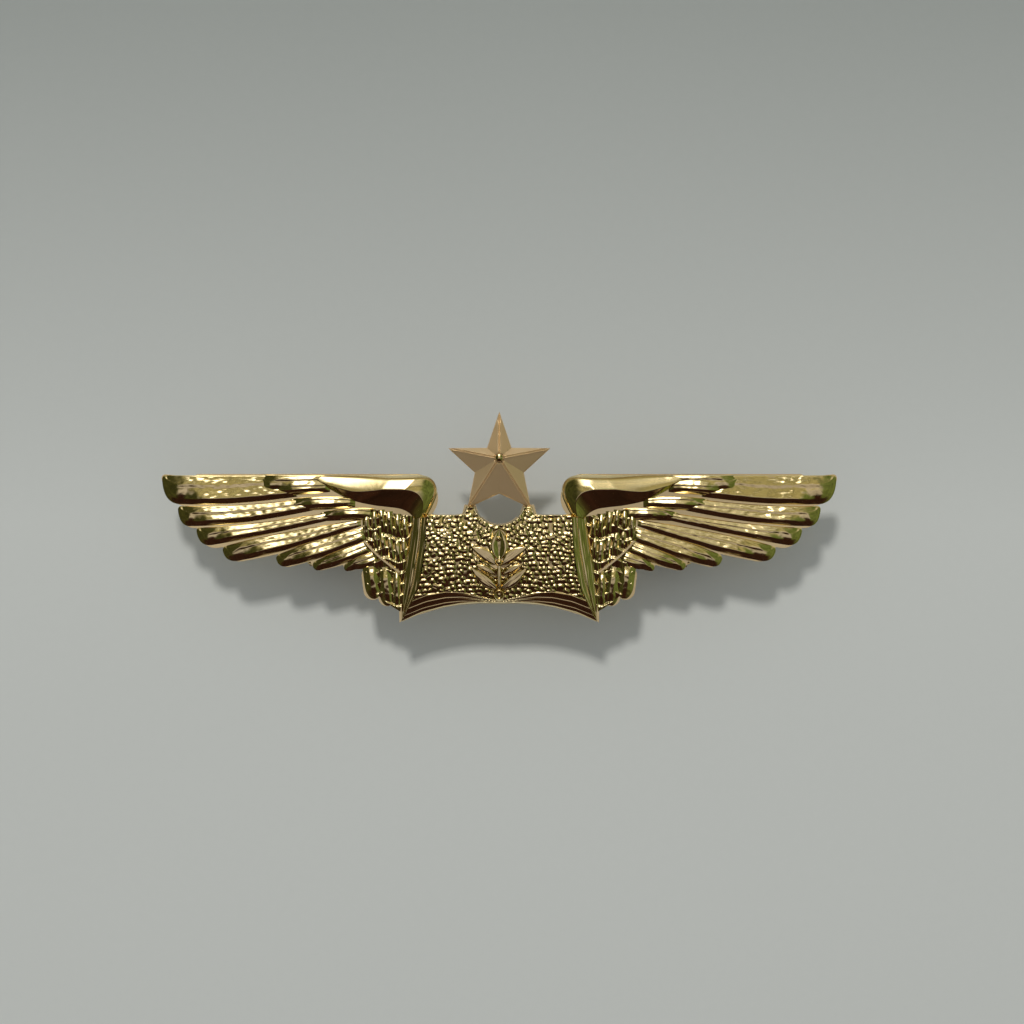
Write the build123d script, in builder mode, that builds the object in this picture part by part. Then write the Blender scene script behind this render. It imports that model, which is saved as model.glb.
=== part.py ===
"""Pilot wings badge: a die-struck wings plate with a soldered star, worn on two nail posts that
each take a butterfly clutch.

Millimetres. X runs along the span, Y towards the star and Z out of the badge's face. The badge
lies face up on its two clutches: Z = 0 is the surface under them, and the origin is under the
middle of the badge's length and height.
"""

from build123d import *

import os
from math import atan2, cos, degrees, radians, sin

# ---------------------------------------------------------------- driving dimensions
HALF_SPAN = 40.0  # middle to wing tip
HALF_HEIGHT = 12.5  # middle to the star's top point, and to the plaque's bottom corners

CLUTCH_HEIGHT = 6.0
PAD_GAP = 0.05
PAD_THICKNESS = 0.4
PAD_RADIUS = 2.4
POST_RADIUS = 0.55
POST_X = 20.6
POST_Y = -0.3
POST_END_Z = 0.35
POINT_LENGTH = 0.65
NOTCH_RADIUS = 0.38  # neck of the round groove where the jaws rest on thin cloth
NOTCH_Z = (4.2, 4.9)

PLATE_THICKNESS = 0.9
FLANGE = 0.3  # flat margin of the plate round its relief
SUNK = 0.3  # how far raised work is carried down into the plate
BACK_Z = CLUTCH_HEIGHT + PAD_GAP + PAD_THICKNESS
FACE_Z = BACK_Z + PLATE_THICKNESS

FEATHER_RISE = 0.5
COVERT_RISE = 0.65
SCAPULAR_RISE = 0.6
SHOULDER_RISE = 1.35
ROLL_RISE = 0.95
PLAQUE_RISE = 0.8
PLAQUE_BULGE = 0.4
PLAQUE_MARGIN = 0.15
BULGE_TOP_Y = 1.6
BULGE_FOOT_Y = -12.6
EMBLEM_RISE = 0.45
FEATHER_BEVEL = 0.15
SHOULDER_ROUND = 0.42
ROLL_ROUND = 0.3
FEATHER_BOW = 0.025  # sag of a feather's edges, as a share of their length

# Flight feathers and coverts of the right wing: upper root, outer corner of the tip, belly of
# the tip, lower root.
PRIMARIES = [
    ((24.0, 4.80), (39.7, 4.80), (36.0, 1.60), (24.5, 2.75)),
    ((21.0, 2.30), (37.7, 1.00), (35.4, -1.00), (21.0, 1.00)),
    ((19.5, 0.60), (35.4, -1.60), (32.6, -3.30), (19.0, 0.00)),
    ((16.5, 0.00), (32.3, -3.75), (29.6, -4.85), (15.0, -0.70)),
    ((15.0, -0.90), (25.9, -4.95), (24.3, -5.55), (14.4, -2.00)),
    ((14.2, -2.50), (22.0, -5.40), (20.5, -5.95), (13.6, -3.70)),
    ((13.6, -4.10), (18.2, -5.70), (16.8, -5.90), (13.0, -4.80)),
]
COVERTS = [
    ((19.0, 4.80), (28.4, 4.80), (26.0, 2.60), (19.5, 2.90)),
    ((17.0, 2.40), (24.5, 1.90), (22.8, 0.85), (16.5, 1.10)),
    ((15.0, 1.00), (20.9, 0.20), (19.4, -0.50), (14.5, -0.30)),
]
BLADE_GROWTH = [(0, 1), (1, 1), (0.5, -1), (0, -1)]  # way the margin grows from each corner
# Flat web that joins the feathers, out to the notches between their tips, and its root.
WEB_ROOT = [(8.6, -0.2), (7.4, 3.2), (9.6, 5.1)]
WEB = [
    (9.6, 5.1), (36.0, 5.1), (36.6, 1.28), (34.8, -1.25), (31.0, -3.5), (25.1, -4.6),
    (21.4, -5.1), (17.8, -5.7), (15.4, -5.7), (11.5, -7.0), (8.6, -0.2),
]

# Small feathers under the shoulder: root, tip, width.
SCAPULARS = [
    ((15.4, 0.1), (15.0, -1.7), 1.0),
    ((14.2, 0.0), (13.9, -2.3), 1.0),
    ((13.0, -0.1), (12.8, -2.9), 1.0),
    ((11.7, -0.6), (11.65, -3.4), 1.0),
    ((14.4, -3.0), (14.2, -4.0), 0.9),
    ((13.3, -3.6), (13.2, -5.0), 0.9),
    ((12.2, -4.2), (12.2, -5.9), 0.9),
    ((15.1, -6.9), (14.85, -8.7), 1.6),
    ((13.4, -7.2), (13.15, -9.5), 1.5),
    ((12.15, -7.9), (12.1, -10.0), 0.9),
]

# Smooth shoulder of the wing, from its outer end round the top and back below.
SHOULDER_TOP = [(22.0, 4.7), (15.0, 4.7), (9.6, 4.8)]
SHOULDER_ROOT = [(9.6, 4.8), (7.7, 3.2), (8.9, 0.1)]
SHOULDER_FOOT = (10.2, 0.0)
SHOULDER_BELLY = [(10.2, 0.0), (12.3, 1.15), (17.6, 1.9), (22.0, 4.7)]

# Rolled edge that runs from the shoulder down to the plaque's bottom corner.
CORNER = (11.4, -12.2)
ROLL_OUTER = [(10.2, -0.4), (11.2, -6.0), CORNER]
ROLL_INNER = [CORNER, (9.5, -6.0), (8.6, -0.2)]

# Plaque between the rolls, right half: its top up to the lug, and its foot of two shallow arcs.
PLAQUE_SIDE = (9.3, -6.0)
PLAQUE_TOP = [(8.4, -0.1), (6.0, 0.15), (4.4, 0.35)]
FOOT_MIDDLE = (0.0, -10.15)
FOOT_TURN = (4.6, -10.25)
FOOT_SAG = 0.12
LUG_TOP = 1.45
LUG_OUTER_X = 4.1
LUG_INNER_X = 2.5
STAR_HOLE_Y = 2.0
STAR_HOLE_RADIUS = 2.85

STAR_RADIUS = 6.35
STAR_Y = HALF_HEIGHT - STAR_RADIUS
STAR_INNER = [0.39, 0.48, 0.54]  # radii of the upper, side and lower valleys over the tips'
STAR_LIFT = 0.25
STAR_RIM = 0.3
STAR_PEAK = 1.6
PEAK_OFFSET = 0.6
STAR_HOLLOW = 0.72  # size of the hollow beneath, over the star's
STAR_HOLLOW_STEP = 0.05
STAR_Z = FACE_Z + STAR_LIFT
SOLDER_RADIUS = 0.42
SOLDER_PLACE = (3.35, 1.25)

# Leaf sprig on the plaque: root, tip, width of each leaf of the right half.
SPRIG_LEAVES = [((0.0, -6.1), (2.9, -4.1), 1.3), ((0.0, -8.5), (2.9, -6.4), 1.3)]
SPRIG_BUD = ((0.0, -5.4), (0.0, -1.9), 2.0)
SPRIG_STEM = ((0.0, -9.2), (0.0, -4.6), 0.55)
SPRIG_FOOT_Y = -9.4
SPRIG_FOOT_RADIUS = 0.55

# Butterfly clutch, about its post: a cup, the base crimped into it, and two wings that rock in
# the base's grooves and bite the post with their straight jaws.
CUP_RADIUS = 5.5
CUP_SHEET = 0.35
CUP_HOLE = POST_RADIUS + 0.07
CUP_INNER = CUP_RADIUS - CUP_SHEET
CUP_LIP_Z = 4.0
CUP_LIP_SHEET = 0.3
CUP_LIP_WIDTH = 0.6
CUP_LIP_ROUND = 0.2
FUNNEL_RADIUS = 1.2
FUNNEL_DEPTH = 0.25
BASE_SHEET = 0.4
BASE_Z = CUP_LIP_Z + CUP_LIP_SHEET
WINDOW_HALF = 2.05
WINDOW_WIDTH = 4.2
PIVOT_OUT = 1.65
PIVOT_Z = BASE_Z + BASE_SHEET
BEAD_RADIUS = 0.25
BEAD_GAP = 0.03
BEAD_LENGTH = 5.4
WING_SHEET = 0.32
NECK_WIDTH = 3.9
WING_WIDTH = 6.6
JAW_WIDTH = 2.4
JAW_GAP = 0.015
JAW_Z = (5.0, 5.2)
WING_FOOT_WIDTH = 4.4
WING_TOP_Z = 3.9
WING_WIDEST_Z = 2.2
CURL_RADIUS = 0.34
WING_BENDS = [(1.65, 3.9), (2.1, 3.1), (4.3, CURL_RADIUS)]
BEND_RADIUS = 0.6
CLUTCHES = {"left": (-POST_X, 8.0), "right": (POST_X, -12.0)}  # post's x, turn in degrees


# ---------------------------------------------------------------- helpers
os.makedirs("parts", exist_ok=True)


def write(name, label):
    """Labels a finished sub-part and writes its STEP file."""
    name.part.label = label
    export_step(name.part, f"parts/{label}.step")


def sag(start, end):
    """Control point that bows a feather's edge below its chord."""
    return (start + end) * 0.5 - Vector(0, 2 * FEATHER_BOW * (end - start).length)


def blade(upper_root, tip, belly, lower_root):
    """Face of a flight feather, with bowed edges and a tip swept back from its outer corner."""
    a, b, c, d = (Vector(*place) for place in (upper_root, tip, belly, lower_root))
    along = (c - d).normalized()
    corner = c + along * (b - c).dot(along)
    with BuildSketch() as face:
        with BuildLine():
            Bezier(a, sag(a, b), b)
            Bezier(b, corner, c)
            Bezier(c, sag(d, c), d)
            Line(d, a)
        make_face()
    return face.sketch


def leaf(root, tip, width):
    """Face of a pointed leaf."""
    a, b = Vector(*root), Vector(*tip)
    side = (b - a).normalized().rotate(Axis.Z, 90) * width
    with BuildSketch() as face:
        with BuildLine():
            Bezier(a, (a + b) * 0.5 + side, b)
            Bezier(b, (a + b) * 0.5 - side, a)
        make_face()
    return face.sketch


def rounded_bar(root, tip, width):
    """Face of a short feather or stem with round ends."""
    a, b = Vector(*root), Vector(*tip)
    heading = degrees(atan2(b.Y - a.Y, b.X - a.X))
    with BuildSketch() as face:
        with Locations((a + b) * 0.5):
            SlotOverall((b - a).length + width, width, rotation=heading)
    return face.sketch


def raised(face, rise, ease, size):
    """A pad that stands `rise` proud of the plate, its top edge eased by a fillet or chamfer."""
    with BuildPart() as pad:
        with BuildSketch(Plane.XY.offset(FACE_Z - SUNK)):
            add(face)
        extrude(amount=SUNK + rise)
        ease(pad.faces().sort_by(Axis.Z)[-1].edges(), size)
    return pad.part


def shift(place, across, up):
    """A point moved by so many flange widths."""
    return (place[0] + across * FLANGE, place[1] + up * FLANGE)


def loop(*curves):
    """Face inside a closed loop of curves; three points make an arc and more a spline."""
    with BuildSketch() as face:
        with BuildLine():
            for points in curves:
                if len(points) == 2:
                    Line(*points)
                elif len(points) == 3:
                    ThreePointArc(*points)
                else:
                    Spline(*points)
        make_face()
    return face.sketch


def arc_through(start, end, rise):
    """Three points of an arc whose middle stands off its chord by `rise` along Y."""
    return [start, ((start[0] + end[0]) / 2, (start[1] + end[1]) / 2 + rise), end]


# ---------------------------------------------------------------- wings plate
blades = [blade(*corners) for corners in PRIMARIES]
coverts = [blade(*corners) for corners in COVERTS]
scapulars = [rounded_bar(*feather) for feather in SCAPULARS]
shoulder = loop(SHOULDER_TOP, SHOULDER_ROOT, [SHOULDER_ROOT[-1], SHOULDER_FOOT], SHOULDER_BELLY)
roll = loop(ROLL_OUTER, ROLL_INNER, [ROLL_INNER[-1], ROLL_OUTER[0]])

foot = [arc_through(FOOT_MIDDLE, FOOT_TURN, FOOT_SAG), arc_through(FOOT_TURN, CORNER, FOOT_SAG)]
lug = [PLAQUE_TOP[-1], (LUG_OUTER_X, LUG_TOP), (LUG_INNER_X, LUG_TOP), (LUG_INNER_X, 0), (0, 0)]

# Feathers, coverts, shoulder and roll of the right wing; the left wing's are their mirror image.
right_reliefs = []
for faces, rise, ease, size in [
    (blades, FEATHER_RISE, chamfer, FEATHER_BEVEL),
    (coverts, COVERT_RISE, chamfer, FEATHER_BEVEL),
    (scapulars, SCAPULAR_RISE, chamfer, FEATHER_BEVEL),
    ([shoulder], SHOULDER_RISE, fillet, SHOULDER_ROUND),
    ([roll], ROLL_RISE, fillet, ROLL_ROUND),
]:
    for face in faces:
        right_reliefs.append(raised(face, rise, ease, size))

# The plaque's raised field bulges between its top and its foot.
with BuildPart() as plaque:
    with BuildSketch(Plane.XY.offset(FACE_Z - SUNK)):
        with BuildLine():
            Line((0, 0), FOOT_MIDDLE)
            for arc in foot:
                ThreePointArc(*arc)
            Polyline(CORNER, PLAQUE_SIDE, PLAQUE_TOP[0])
            ThreePointArc(*PLAQUE_TOP)
            Line(PLAQUE_TOP[-1], (0, 0))
        make_face()
        mirror(about=Plane.YZ)
        with Locations((0, STAR_HOLE_Y)):
            Circle(STAR_HOLE_RADIUS, mode=Mode.SUBTRACT)
        offset(amount=-PLAQUE_MARGIN, kind=Kind.INTERSECTION)
    extrude(amount=SUNK + PLAQUE_RISE + PLAQUE_BULGE)
    with BuildSketch(Plane.YZ):
        with BuildLine():
            ends = [(BULGE_TOP_Y, FACE_Z + PLAQUE_RISE), (BULGE_FOOT_Y, FACE_Z + PLAQUE_RISE)]
            crest = ((BULGE_TOP_Y + BULGE_FOOT_Y) / 2, FACE_Z + PLAQUE_RISE + PLAQUE_BULGE)
            ThreePointArc(ends[0], crest, ends[1])
            Polyline(ends[1], (BULGE_FOOT_Y, 0), (BULGE_TOP_Y, 0), ends[0])
        make_face()
    extrude(amount=HALF_SPAN, both=True, mode=Mode.INTERSECT)

with BuildPart() as wings_plate:
    with BuildSketch(Plane.XY.offset(BACK_Z)):
        for corners in PRIMARIES + COVERTS:
            add(blade(*[shift(place, *way) for place, way in zip(corners, BLADE_GROWTH)]))
        for root, tip, width in SCAPULARS:
            add(rounded_bar(root, tip, width + 2 * FLANGE))
        with BuildLine():
            ThreePointArc(*WEB_ROOT)
            Polyline(*WEB)
        make_face()
        corner_margin = shift(CORNER, 1, -1)
        roll_margin = [shift(ROLL_OUTER[0], 1, 0), shift(ROLL_OUTER[1], 1, 0), corner_margin]
        with BuildLine():
            Polyline(*lug, FOOT_MIDDLE)
            for arc in foot:
                ThreePointArc(*arc)
            Line(CORNER, corner_margin)
            ThreePointArc(*reversed(roll_margin))
            Polyline(roll_margin[0], SHOULDER_FOOT, PLAQUE_TOP[0])
            ThreePointArc(*PLAQUE_TOP)
        make_face()
        mirror(about=Plane.YZ)
        with Locations((0, STAR_HOLE_Y)):
            Circle(STAR_HOLE_RADIUS, mode=Mode.SUBTRACT)
    extrude(amount=PLATE_THICKNESS)

    left_reliefs = [relief.mirror(Plane.YZ) for relief in right_reliefs]
    add(right_reliefs + left_reliefs + [plaque.part], clean=False)
write(wings_plate, "wings_plate")


# ---------------------------------------------------------------- centre emblem
with BuildPart() as centre_emblem:
    with BuildSketch(Plane.XY.offset(FACE_Z)):
        for root, tip, width in SPRIG_LEAVES:
            add(leaf(root, tip, width))
        mirror(about=Plane.YZ)
        add(leaf(*SPRIG_BUD))
        add(rounded_bar(*SPRIG_STEM))
        with Locations((0, SPRIG_FOOT_Y)):
            Circle(SPRIG_FOOT_RADIUS)
    extrude(amount=PLAQUE_RISE + PLAQUE_BULGE + EMBLEM_RISE)
    add(wings_plate.part, mode=Mode.SUBTRACT)
write(centre_emblem, "centre_emblem")


# ---------------------------------------------------------------- star
def star_outline(size):
    """Corners of the star about its own middle, from the top tip clockwise."""
    upper, side, lower = STAR_INNER
    turn = -360 / 5
    corners = []
    for point, valley in enumerate([upper, side, lower, side, upper]):
        tip = Vector(0, size)
        corners.append(tip.rotate(Axis.Z, turn * point))
        corners.append(tip.rotate(Axis.Z, turn * (point + 0.5)) * valley)
    return corners


with BuildPart() as star:
    for size, base, wall, mode in [
        (STAR_RADIUS, STAR_Z, STAR_RIM, Mode.ADD),
        (STAR_RADIUS * STAR_HOLLOW, STAR_Z, STAR_HOLLOW_STEP, Mode.SUBTRACT),
    ]:
        with BuildSketch(Plane((0, STAR_Y, base))) as rim:
            Polygon(*star_outline(size), align=None)
        extrude(amount=wall, mode=mode)
        peak = Vertex(0, STAR_Y + PEAK_OFFSET, base + wall + STAR_PEAK * size / STAR_RADIUS)
        loft([rim.sketch.moved(Location((0, 0, wall))), peak], ruled=True, mode=mode)
write(star, "star")


# ---------------------------------------------------------------- solder under the star's feet
for side, sign in [("left", -1), ("right", 1)]:
    with BuildPart() as star_solder:
        with BuildSketch(Plane((sign * SOLDER_PLACE[0], SOLDER_PLACE[1], FACE_Z))):
            Circle(SOLDER_RADIUS)
        extrude(amount=STAR_LIFT)
    write(star_solder, f"star_solder_{side}")


# ---------------------------------------------------------------- posts
for side, sign in [("left", -1), ("right", 1)]:
    with BuildPart() as post:
        with BuildSketch(Plane((sign * POST_X, POST_Y, 0), x_dir=(1, 0, 0), z_dir=(0, -1, 0))):
            with BuildLine():
                Polyline(
                    (0, POST_END_Z),
                    (POST_RADIUS, POST_END_Z + POINT_LENGTH),
                    (POST_RADIUS, NOTCH_Z[0]),
                )
                ThreePointArc(
                    (POST_RADIUS, NOTCH_Z[0]),
                    (NOTCH_RADIUS, sum(NOTCH_Z) / 2),
                    (POST_RADIUS, NOTCH_Z[1]),
                )
                Polyline(
                    (POST_RADIUS, NOTCH_Z[1]),
                    (POST_RADIUS, BACK_Z - PAD_THICKNESS),
                    (PAD_RADIUS, BACK_Z - PAD_THICKNESS),
                    (PAD_RADIUS, BACK_Z),
                    (0, BACK_Z),
                    (0, POST_END_Z),
                )
            make_face()
        revolve(axis=Axis((sign * POST_X, POST_Y, 0), (0, 0, 1)))
    write(post, f"post_{side}")


# ---------------------------------------------------------------- clutches
def clutch_plane(x, turn, height=0.0):
    """Level plane about a clutch's post, with X along the wings' hinges."""
    return Plane((x, POST_Y, height), x_dir=(cos(radians(turn)), sin(radians(turn)), 0))


def upright(x, turn):
    """Upright plane through a clutch's post and across the hinges: X outward, Y up."""
    heading = radians(turn + 90)
    hinge = (cos(radians(turn)), sin(radians(turn)), 0)
    return Plane((x, POST_Y, 0), x_dir=(cos(heading), sin(heading), 0), z_dir=hinge)


def facing(x, turn):
    """Upright plane through a clutch's post and along the hinges: X along them, Y up."""
    heading = radians(turn - 90)
    hinge = (cos(radians(turn)), sin(radians(turn)), 0)
    return Plane((x, POST_Y, 0), x_dir=hinge, z_dir=(cos(heading), sin(heading), 0))


for side, (x, turn) in CLUTCHES.items():
    section_plane = upright(x, turn)
    post_axis = Axis((x, POST_Y, 0), (0, 0, 1))

    with BuildPart() as clutch_cup:
        with BuildSketch(section_plane):
            with BuildLine():
                Polyline(
                    (CUP_HOLE, CLUTCH_HEIGHT - FUNNEL_DEPTH),
                    (FUNNEL_RADIUS, CLUTCH_HEIGHT),
                    (CUP_RADIUS, CLUTCH_HEIGHT),
                    (CUP_RADIUS, CUP_LIP_Z),
                    (CUP_INNER - CUP_LIP_WIDTH, CUP_LIP_Z),
                    (CUP_INNER - CUP_LIP_WIDTH, BASE_Z),
                    (CUP_INNER, BASE_Z),
                    (CUP_INNER, CLUTCH_HEIGHT - CUP_SHEET),
                    (CUP_HOLE, CLUTCH_HEIGHT - CUP_SHEET),
                    close=True,
                )
            make_face()
        revolve(axis=post_axis)
        circles = clutch_cup.edges().filter_by(GeomType.CIRCLE)
        rims = circles.group_by(SortBy.RADIUS)[-1].sort_by(Axis.Z)
        fillet(rims[-1], CUP_SHEET)
        fillet(rims[0], CUP_LIP_ROUND)
    write(clutch_cup, f"clutch_cup_{side}")

    with BuildPart() as clutch_base:
        with BuildSketch(clutch_plane(x, turn, BASE_Z)):
            Circle(CUP_INNER)
            Rectangle(WINDOW_WIDTH, 2 * WINDOW_HALF, mode=Mode.SUBTRACT)
        extrude(amount=BASE_SHEET)
        for out in (-PIVOT_OUT, PIVOT_OUT):
            with BuildSketch(section_plane):
                with Locations((out, PIVOT_Z)):
                    Circle(BEAD_RADIUS + BEAD_GAP)
            extrude(amount=BEAD_LENGTH / 2 + BEAD_GAP, both=True, mode=Mode.SUBTRACT)
    write(clutch_base, f"clutch_base_{side}")

    for place, sign in [("upper", 1), ("lower", -1)]:
        # Sheet that flares outward below the base to a curled end, trimmed to a rounded outline.
        with BuildPart() as thumb_wing:
            with BuildSketch(section_plane):
                with BuildLine():
                    FilletPolyline(
                        (sign * PIVOT_OUT, BASE_Z + BASE_SHEET / 2),
                        (sign * PIVOT_OUT, WING_BENDS[0][1]),
                        *[(sign * out, height) for out, height in WING_BENDS[1:]],
                        radius=BEND_RADIUS,
                    )
                trace(line_width=WING_SHEET)
                with Locations((sign * WING_BENDS[-1][0], WING_BENDS[-1][1])):
                    Circle(CURL_RADIUS)
            extrude(amount=WING_WIDTH / 2, both=True)
            with BuildSketch(facing(x, turn)):
                with BuildLine():
                    Line((0, PIVOT_Z), (NECK_WIDTH / 2, PIVOT_Z))
                    Line((NECK_WIDTH / 2, PIVOT_Z), (NECK_WIDTH / 2, WING_TOP_Z))
                    Bezier(
                        (NECK_WIDTH / 2, WING_TOP_Z),
                        (WING_WIDTH / 2, WING_TOP_Z),
                        (WING_WIDTH / 2, WING_WIDEST_Z),
                    )
                    Bezier(
                        (WING_WIDTH / 2, WING_WIDEST_Z),
                        (WING_WIDTH / 2, 0),
                        (WING_FOOT_WIDTH / 2, -CURL_RADIUS),
                    )
                    Polyline((WING_FOOT_WIDTH / 2, -CURL_RADIUS), (0, -CURL_RADIUS), (0, PIVOT_Z))
                make_face()
                mirror(about=Plane.YZ)
            extrude(amount=2 * CUP_RADIUS, both=True, mode=Mode.INTERSECT)

        with BuildPart() as clutch_wing:
            # Jaw and neck, above and through the base's window.
            half = WING_SHEET / 2
            with BuildSketch(section_plane):
                with BuildLine():
                    Polyline(
                        (sign * (POST_RADIUS + JAW_GAP), JAW_Z[0]),
                        (sign * (PIVOT_OUT - half), JAW_Z[0]),
                        (sign * (PIVOT_OUT - half), BASE_Z),
                        (sign * (PIVOT_OUT + half), BASE_Z),
                        (sign * (PIVOT_OUT + half), JAW_Z[1]),
                        (sign * (POST_RADIUS + JAW_GAP), JAW_Z[1]),
                        close=True,
                    )
                make_face()
            extrude(amount=JAW_WIDTH / 2, both=True)
            with BuildSketch(section_plane):
                with Locations((sign * PIVOT_OUT, PIVOT_Z)):
                    Circle(BEAD_RADIUS)
            extrude(amount=BEAD_LENGTH / 2, both=True)
            add(thumb_wing.part)
        write(clutch_wing, f"clutch_wing_{place}_{side}")
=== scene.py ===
"""Looks of a die-struck pilot wings badge: feathers, shoulders, pebbled plaque and star in gold."""

from math import cos, hypot, pi, radians, sin

import bmesh
import bpy
import numpy as np
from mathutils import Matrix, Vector, noise


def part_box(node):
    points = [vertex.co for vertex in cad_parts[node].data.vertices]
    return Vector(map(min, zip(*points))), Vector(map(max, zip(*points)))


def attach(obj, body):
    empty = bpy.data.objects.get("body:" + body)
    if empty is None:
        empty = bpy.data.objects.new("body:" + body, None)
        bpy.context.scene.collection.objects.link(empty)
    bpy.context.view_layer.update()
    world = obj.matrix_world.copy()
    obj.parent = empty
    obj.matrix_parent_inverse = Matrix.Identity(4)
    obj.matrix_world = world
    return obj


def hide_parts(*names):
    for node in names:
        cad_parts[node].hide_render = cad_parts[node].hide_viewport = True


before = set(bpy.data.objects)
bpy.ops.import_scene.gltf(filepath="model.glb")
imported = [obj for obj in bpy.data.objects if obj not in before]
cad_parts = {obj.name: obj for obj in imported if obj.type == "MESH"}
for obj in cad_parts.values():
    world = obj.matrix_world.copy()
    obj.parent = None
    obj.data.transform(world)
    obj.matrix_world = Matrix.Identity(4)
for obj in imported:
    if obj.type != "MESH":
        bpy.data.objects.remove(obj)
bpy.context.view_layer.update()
MM = 0.001

# ---------------------------------------------------------------- sizes, in millimetres
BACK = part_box("wings_plate")[0][2] / MM
FLOOR = BACK + 0.9  # flat of the plate, round its relief
SUNK = 0.12  # how far a relief's own rim is carried down into the plate
ROOTS = BACK + 0.3  # underside of every relief shell, inside the plate
HOLE_Y, HOLE_RADIUS = 2.0, 2.85
EDGE_ROLL = 0.2  # radius on the plate's own rim

# Right wing. Each flight feather and covert: three points of its upper edge from the root to the
# tip's corner, then three of its lower edge from the root to the tip's belly.
PRIMARIES = [
    ((24.0, 4.95), (32.0, 4.95), (39.9, 4.95), (23.0, 2.50), (31.0, 1.62), (37.4, 1.50)),
    ((21.5, 2.30), (30.5, 1.44), (38.0, 1.30), (22.0, 0.75), (30.0, -0.65), (36.3, -1.10)),
    ((19.5, 0.60), (29.0, -0.75), (35.8, -1.30), (19.5, -0.30), (28.0, -2.22), (33.7, -3.32)),
    ((16.3, -0.30), (26.5, -2.08), (32.7, -3.60), (16.3, -1.10), (24.0, -3.62), (30.2, -5.10)),
    ((15.9, -1.20), (21.5, -2.78), (26.4, -4.62), (15.6, -2.70), (20.3, -4.62), (24.6, -5.76)),
    ((15.4, -2.80), (18.8, -3.98), (22.1, -5.45), (14.6, -3.80), (17.7, -5.30), (20.7, -6.20)),
    ((14.4, -3.90), (16.5, -4.68), (18.4, -5.70), (13.6, -5.10), (15.2, -5.95), (16.9, -6.22)),
]
COVERTS = [
    ((20.0, 4.95), (24.5, 4.97), (28.6, 5.00), (20.0, 2.95), (23.5, 2.62), (26.3, 2.50)),
    ((17.0, 2.15), (21.0, 2.42), (24.9, 2.05), (17.0, 1.15), (20.5, 0.85), (23.7, 0.75)),
    ((14.6, 0.95), (18.0, 1.00), (21.3, 0.45), (14.6, -0.40), (17.3, -0.40), (20.0, -0.50)),
]
TIP_ROUND = 0.55
TIP_SWELL, TIP_FALL = 0.12, 2.8  # how a feather swells before its tip, and the length of its dip
ROOT_FALL = 3.0  # length over which it rises from its root
TIP_DIP, ROOT_DIP = 0.88, 0.7  # share of its height that it loses at its tip and at its root
LOWER_RUN, UPPER_RUN, ROOT_RUN = 0.62, 0.12, 0.6  # widths of its worn edges
RIB_RISE, BARB_RISE, DENT_RISE = 0.055, 0.012, 0.022
FLIGHT_HEIGHTS, FLIGHT_RIBS = (0.12, 0.5), 2  # height at the upper and lower edge, and ribs across
COVERT_HEIGHTS, COVERT_RIBS = (0.28, 0.62), 3

# Small feathers that hang under the shoulder, lowest row first: root, tip, width, rise.
SCAPULARS = [
    ((15.15, -5.9), (14.75, -8.75), 1.95, 0.42),
    ((13.55, -6.0), (13.1, -9.65), 1.8, 0.45),
    ((12.1, -6.4), (12.0, -10.25), 1.2, 0.5),
    ((14.7, -1.6), (14.5, -3.5), 0.95, 0.34),
    ((13.9, -1.9), (13.5, -4.2), 1.05, 0.36),
    ((13.0, -2.1), (12.6, -5.0), 1.0, 0.38),
    ((12.1, -2.5), (11.75, -5.7), 1.1, 0.4),
    ((11.3, -2.4), (11.2, -4.9), 0.9, 0.38),
    ((15.7, 0.4), (15.6, -2.4), 0.95, 0.42),
    ((14.8, 0.7), (14.7, -1.6), 0.9, 0.45),
    ((14.0, 0.8), (13.7, -1.4), 0.95, 0.47),
    ((13.1, 0.6), (12.8, -1.9), 1.05, 0.5),
    ((12.1, 0.3), (11.8, -2.2), 1.05, 0.52),
    ((11.2, -0.2), (11.0, -2.5), 1.0, 0.54),
]
GROUND_OUTER = [(16.0, 1.0), (15.9, -1.8), (14.9, -4.6), (15.7, -6.6), (15.2, -8.4), (12.6, -10.6)]
GROUND_INNER = [(10.1, 0.0), (10.6, -2.5), (10.9, -5.0), (11.1, -7.5), (11.3, -9.5), (11.6, -11.2)]
STRIP = [(15.9, -2.9), (14.6, -4.3), (13.2, -5.5), (11.7, -6.6)]  # flat edge over the lowest row
STRIP_HALF, STRIP_RISE = 0.15, 0.5

# Shoulder: the run of its upper edge from the foot, round the root and out along the wing's top,
# and the run of its lower edge, point for point.
SHOULDER_HIGH = [
    (8.75, -0.3), (7.85, 1.4), (7.35, 3.0), (7.9, 4.4), (9.4, 4.98), (12.5, 4.96), (16.0, 4.92),
    (19.5, 4.95), (22.4, 5.0),
]
SHOULDER_LOW = [
    (9.9, -0.5), (10.25, 0.05), (10.8, 0.55), (11.7, 0.95), (13.0, 1.15), (15.0, 1.4), (17.5, 2.0),
    (20.0, 3.25), (22.4, 4.6),
]
SHOULDER_RISE = [0.6, 0.8, 0.95, 1.1, 1.2, 1.1, 0.85, 0.55, 0.3]
# Where the shoulder is highest, as a share of its width from the low edge.
SHOULDER_CREST = [0.5, 0.5, 0.5, 0.5, 0.5, 0.48, 0.3, 0.22, 0.2]

CORNER = (11.45, -12.3)
ROLL_OUTER = [(10.4, -0.4), (10.75, -3.5), (11.2, -6.0), (11.45, -8.6), CORNER]
ROLL_INNER = [(8.5, -0.1), (8.65, -3.5), (8.95, -6.0), (9.6, -8.8), CORNER]
ROLL_FOOT, ROLL_SLOPE = 0.14, 0.52  # height at its outer edge, and its climb towards the plaque
ROLL_RIBS, ROLL_RIB_RISE, SEAM_DEPTH = 4.5, 0.016, 0.07


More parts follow.
